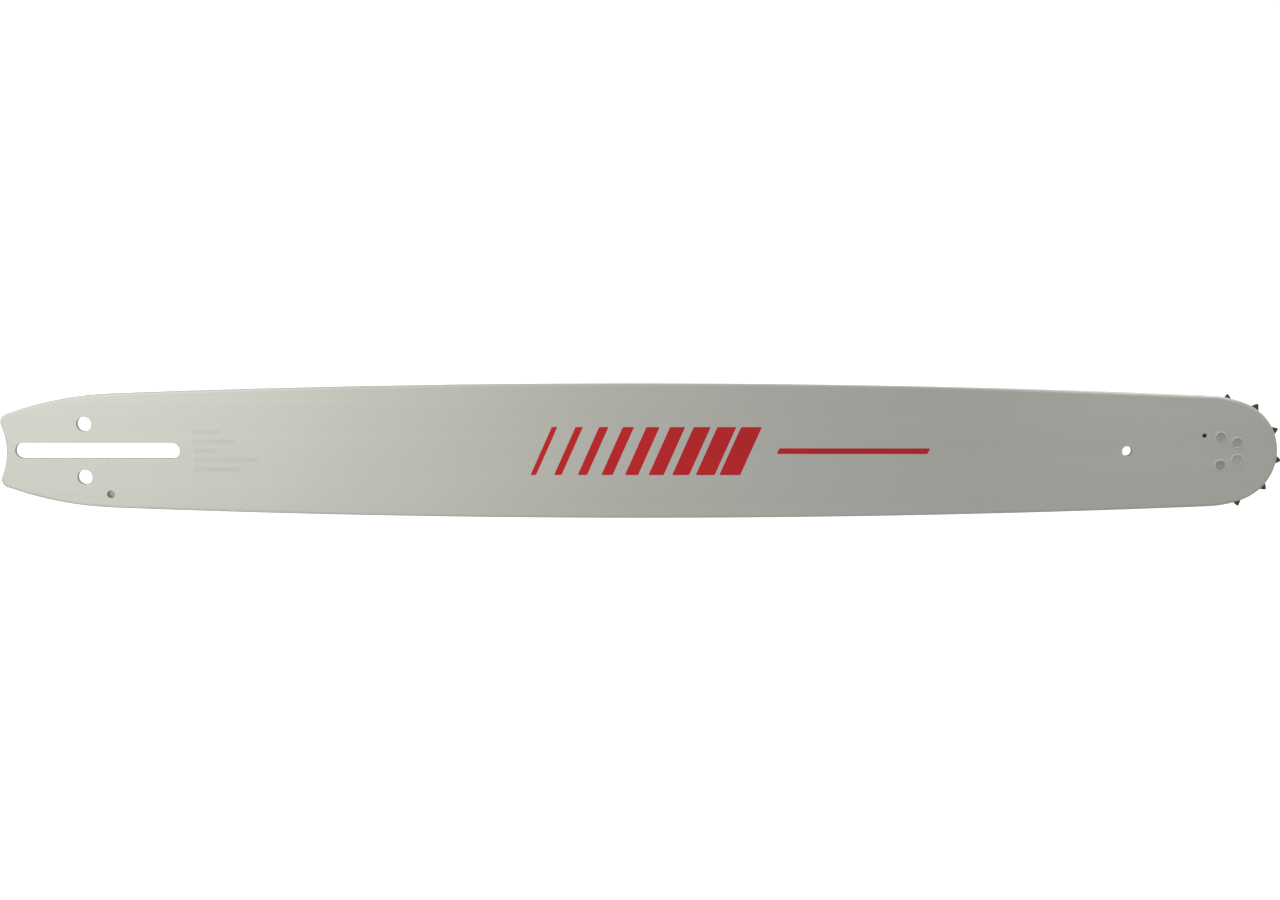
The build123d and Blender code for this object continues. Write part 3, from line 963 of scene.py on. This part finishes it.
class GUIDE_BAR_OT_print(BarStep, Operator):
    """Prints a run of slanted bars that widen towards the nose, and a stripe in front of them"""

    bl_idname = "guide_bar.print"
    bl_label = "Print"

    def execute(self, context):
        sizes = context.scene.guide_bar_print
        finish = print_ink(context.scene.guide_bar_finish)
        pitch = sizes.reach / sizes.count
        bars = []
        for index in range(sizes.count):
            width = pitch * (sizes.narrowest + sizes.widening * index / (sizes.count - 1))
            start = sizes.start + pitch * (index + 1) - width
            bars.append((start, width, sizes.height))
        stripe_start = sizes.start + sizes.reach + sizes.stripe_gap
        bars.append((stripe_start, sizes.stripe_reach, sizes.stripe_height))
        edge = sizes.thickness / 2
        top = flat(edge, FRONT_FACE + sizes.thickness)
        profile = [flat(0, FRONT_FACE - edge), flat(0, FRONT_FACE + edge), top]
        form = bmesh.new()
        for start, width, height in bars:
            outline = slanted_bar(start, width, 0, height, sizes.slant, sizes.corner)
            sweep_edges(form, [(outline, profile, [0, 0])], foot_skin=0, face_skin=0)
        add_piece("printed_bars", form, [finish], "bar")
        return {"FINISHED"}


class GUIDE_BAR_OT_etching(BarStep, Operator):
    """Etches rows of plain hatching into the paint beside the stud slot"""

    bl_idname = "guide_bar.etching"
    bl_label = "Etching"

    def execute(self, context):
        sizes = context.scene.guide_bar_etch
        finish = etched_paint(context.scene.guide_bar_finish)
        profile = [flat(0, FRONT_FACE - sizes.thickness / 2), flat(0, FRONT_FACE + sizes.thickness)]
        form = bmesh.new()
        for index, row in enumerate(ETCH_ROWS):
            level = (len(ETCH_ROWS) // 2 - index) * sizes.spacing
            for step in range(round(row * sizes.reach / sizes.pitch)):
                start = sizes.start + step * sizes.pitch
                outline = slanted_bar(start, sizes.stroke, level, sizes.height, sizes.slant, sizes.stroke)
                sweep_edges(form, [(outline, profile, [0])], foot_skin=0, face_skin=0)
        add_piece("etched_marks", form, [finish], "bar")
        return {"FINISHED"}


def add_lamp(name, power, tint, place, aim, size, spread=pi, lights=True, glints=True):
    """A soft rectangular lamp that lights dull faces, glints in gloss, or does both."""
    lamp = bpy.data.lights.new(name, "AREA")
    lamp.shape = "RECTANGLE"
    lamp.size, lamp.size_y = size
    lamp.energy = power
    lamp.color = tint
    lamp.spread = spread
    holder = bpy.data.objects.new(name, lamp)
    holder.location = place
    holder.rotation_euler = (Vector(aim) - Vector(place)).to_track_quat("-Z", "Y").to_euler()
    holder.visible_camera = False
    holder.visible_diffuse = lights
    holder.visible_glossy = glints
    bpy.context.scene.collection.objects.link(holder)


class GUIDE_BAR_OT_studio(BarStep, Operator):
    """Lays the pale floor, sets the soft lamps and stands the camera over the front face"""

    bl_idname = "guide_bar.studio"
    bl_label = "Studio"

    def execute(self, context):
        studio = context.scene.guide_bar_studio
        self.lay_floor(studio)
        self.set_surround(context.scene, studio)
        for name, stand in LAMPS.items():
            add_lamp(name, getattr(studio, name), getattr(studio, f"{name}_tint"), **stand)
        self.stand_camera(context.scene, studio)
        context.scene.view_settings.view_transform = "Standard"
        return {"FINISHED"}

    def lay_floor(self, studio):
        """A wide sheet just under the back face."""
        form = bmesh.new()
        bmesh.ops.create_grid(form, x_segments=4, y_segments=4, size=FLOOR_REACH)
        mesh = bpy.data.meshes.new("floor")
        form.to_mesh(mesh)
        form.free()
        mesh.materials.append(floor_sheet(studio))
        floor = bpy.data.objects.new("floor", mesh)
        floor.location = (0, 0, CAD_BOX[0].z - FLOOR_GAP)
        bpy.context.scene.collection.objects.link(floor)

    def set_surround(self, scene, studio):
        """A white surround, brighter on the side of the upper rail."""
        world = bpy.data.worlds.new("studio_surround")
        scene.world = world
        world.use_nodes = True
        tree = world.node_tree
        way = add_node(tree, "ShaderNodeTexCoord", {}).outputs["Generated"]
        rise = add_node(tree, "ShaderNodeSeparateXYZ", {"Vector": way}).outputs["Y"]
        low = studio.surround * (1 - studio.surround_lean)
        high = studio.surround * (1 + studio.surround_lean)
        strength = add_range(tree, rise, low, high, -1, 1)
        set_inputs(tree, tree.nodes["Background"], {"Color": (1, 1, 1, 1), "Strength": strength})

    def stand_camera(self, scene, studio):
        """The camera looks down on the front face, with the upper rail on top."""
        camera = bpy.data.cameras.new("studio_camera")
        camera.sensor_width = SENSOR_WIDTH
        camera.lens = studio.focal_length
        camera.clip_start = NEAREST_VIEW
        holder = bpy.data.objects.new("studio_camera", camera)
        target = Vector((*CAMERA_AIM, FRONT_FACE))
        tilt = studio.camera_tilt
        holder.location = target + studio.camera_distance * Vector((0, sin(tilt), cos(tilt)))
        holder.rotation_euler = (-tilt, 0, studio.camera_roll)
        scene.collection.objects.link(holder)
        scene.camera = holder


class GUIDE_BAR_PT_dressing(Panel):
    """Pieces, sizes and finishes of the guide bar"""

    bl_idname = "GUIDE_BAR_PT_dressing"
    bl_label = "Guide Bar"
    bl_space_type = "VIEW_3D"
    bl_region_type = "UI"
    bl_category = "Guide Bar"

    def draw(self, context):
        for operator in PIECE_OPERATORS:
            self.layout.operator(operator.bl_idname)
        for name, (_, title) in SETTINGS.items():
            box = self.layout.box()
            box.label(text=title)
            group = getattr(context.scene, name)
            for size in group.bl_rna.properties:
                if size.identifier in group.__annotations__:
                    box.prop(group, size.identifier)


SETTINGS = {
    "guide_bar_plate": (PlateSizes, "Side plates"),
    "guide_bar_nose": (NoseSizes, "Nose"),
    "guide_bar_print": (PrintSizes, "Print"),
    "guide_bar_etch": (EtchSizes, "Etching"),
    "guide_bar_finish": (FinishColours, "Finishes"),
    "guide_bar_studio": (StudioSettings, "Studio"),
}
PIECE_OPERATORS = (
    GUIDE_BAR_OT_side_plates,
    GUIDE_BAR_OT_core,
    GUIDE_BAR_OT_bearing,
    GUIDE_BAR_OT_star_wheel,
    GUIDE_BAR_OT_rivets,
    GUIDE_BAR_OT_grease,
    GUIDE_BAR_OT_print,
    GUIDE_BAR_OT_etching,
    GUIDE_BAR_OT_studio,
)


def register():
    """Adds the settings, the operators and the panel."""
    for name, (group, _) in SETTINGS.items():
        bpy.utils.register_class(group)
        setattr(bpy.types.Scene, name, PointerProperty(type=group))
    for operator in PIECE_OPERATORS:
        bpy.utils.register_class(operator)
    bpy.utils.register_class(GUIDE_BAR_PT_dressing)


def unregister():
    """Takes the panel, the operators and the settings away again."""
    bpy.utils.unregister_class(GUIDE_BAR_PT_dressing)
    for operator in reversed(PIECE_OPERATORS):
        bpy.utils.unregister_class(operator)
    for name, (group, _) in reversed(SETTINGS.items()):
        delattr(bpy.types.Scene, name)
        bpy.utils.unregister_class(group)


def main():
    """Dresses the bar piece by piece."""
    register()
    bpy.ops.guide_bar.side_plates()
    bpy.ops.guide_bar.core()
    bpy.ops.guide_bar.bearing()
    bpy.ops.guide_bar.star_wheel()
    bpy.ops.guide_bar.rivets()
    bpy.ops.guide_bar.grease()
    bpy.ops.guide_bar.print()
    bpy.ops.guide_bar.etching()
    bpy.ops.guide_bar.studio()


if __name__ == "__main__":
    main()
